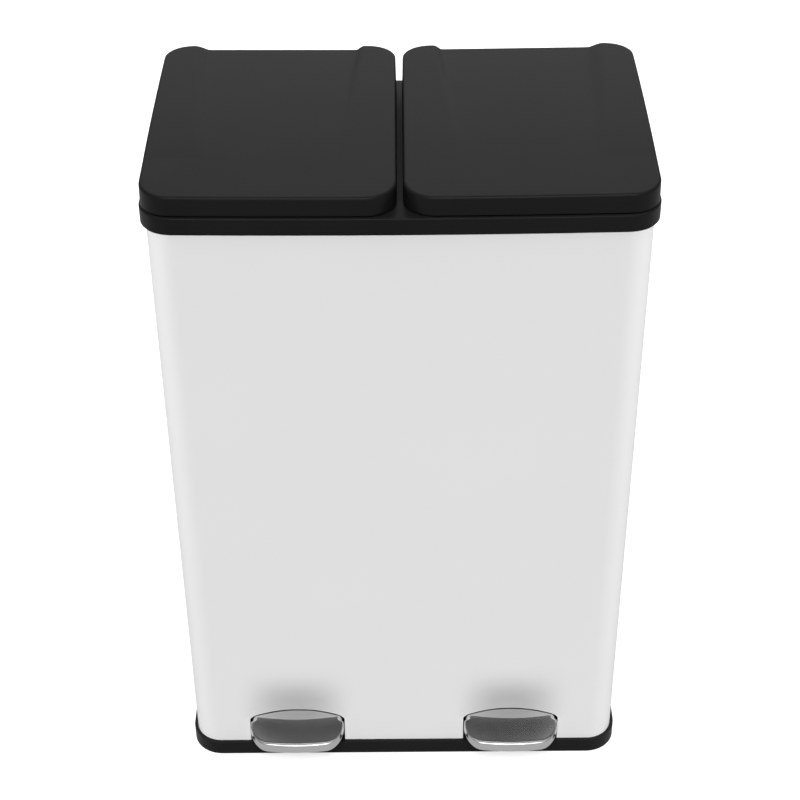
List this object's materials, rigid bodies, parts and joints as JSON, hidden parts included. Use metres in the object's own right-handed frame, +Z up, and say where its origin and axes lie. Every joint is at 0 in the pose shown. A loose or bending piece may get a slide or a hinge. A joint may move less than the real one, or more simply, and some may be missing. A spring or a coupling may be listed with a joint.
{
  "type": "double recycling bin",
  "caption": "Upright recycling bin with side-by-side hinged lids, a painted steel casing, lift-out buckets, and pedals that raise the lids by levers and rods.",
  "frame": {"origin": "middle of the whole bin's footprint, on the floor, with both lids closed", "axes": "+Z up, +Y from the pedals to the back, +X to the right as seen from the pedals"},
  "size_m": [0.428, 0.286, 0.6499],
  "materials": {
    "casing_paint": "smooth satin white paint on sheet steel",
    "black_plastic": "fine-textured matte black plastic",
    "pedal_steel": "polished pressed steel",
    "plated_steel": "zinc-plated steel",
    "bucket_plastic": "plain dark grey moulded plastic",
    "natural_nylon": "natural nylon",
    "foot_rubber": "soft black rubber"
  },
  "bodies": {
    "shell": {"axle_clips": "plated_steel", "bail_left": "plated_steel", "bail_right": "plated_steel", "base_tray": "black_plastic", "bracket_screws": "plated_steel", "bucket_left": "bucket_plastic", "bucket_right": "bucket_plastic", "casing": "casing_paint", "foot_pads": "foot_rubber", "guide_rivets": "plated_steel", "hinge_pins_left": "plated_steel", "hinge_pins_right": "plated_steel", "lever_pads": "foot_rubber", "pedal_axle_left": "plated_steel", "pedal_axle_right": "plated_steel", "pedal_bracket_left": "plated_steel", "pedal_bracket_right": "plated_steel", "rim_frame": "black_plastic", "rod_guide_left": "natural_nylon", "rod_guide_right": "natural_nylon"},
    "left_lid": {"lid_bumpers_left": "foot_rubber", "lid_left": "black_plastic", "link_pin_left": "plated_steel"},
    "right_lid": {"lid_bumpers_right": "foot_rubber", "lid_right": "black_plastic", "link_pin_right": "plated_steel"},
    "left_pedal": {"pedal_lever_left": "plated_steel", "pedal_tread_left": "pedal_steel", "pivot_bush_left": "natural_nylon", "tread_rivets_left": "plated_steel"},
    "right_pedal": {"pedal_lever_right": "plated_steel", "pedal_tread_right": "pedal_steel", "pivot_bush_right": "natural_nylon", "tread_rivets_right": "plated_steel"},
    "left_rod": {"lift_rod_left": "plated_steel", "rod_eye_left": "plated_steel"},
    "right_rod": {"lift_rod_right": "plated_steel", "rod_eye_right": "plated_steel"}
  },
  "joints": [
    {"name": "left_lid_hinge", "type": "hinge", "parent": "shell", "child": "left_lid", "pos_m": [-0.10725, 0.1325, 0.6325], "axis": [-1, 0, 0], "range_deg": [0, 75]},
    {"name": "left_pedal_pivot", "type": "hinge", "parent": "shell", "child": "left_pedal", "pos_m": [-0.10625, -0.047, 0.022], "axis": [1, 0, 0], "range_deg": [0, 8.41]},
    {"name": "left_rod_slide", "type": "slide", "parent": "shell", "child": "left_rod", "axis": [0, 0, 1], "range_m": [0, 0.024]},
    {"name": "right_lid_hinge", "type": "hinge", "parent": "shell", "child": "right_lid", "pos_m": [0.10725, 0.1325, 0.6325], "axis": [-1, 0, 0], "range_deg": [0, 75]},
    {"name": "right_pedal_pivot", "type": "hinge", "parent": "shell", "child": "right_pedal", "pos_m": [0.10625, -0.047, 0.022], "axis": [1, 0, 0], "range_deg": [0, 8.41]},
    {"name": "right_rod_slide", "type": "slide", "parent": "shell", "child": "right_rod", "axis": [0, 0, 1], "range_m": [0, 0.024]}
  ],
  "couplings": [
    {"joint": "left_pedal_pivot", "follows": "left_lid_hinge", "ratio": 0.11217},
    {"joint": "left_rod_slide", "follows": "left_lid_hinge", "m_per_rad": 0.018334},
    {"joint": "right_pedal_pivot", "follows": "right_lid_hinge", "ratio": 0.11217},
    {"joint": "right_rod_slide", "follows": "right_lid_hinge", "m_per_rad": 0.018334}
  ]
}
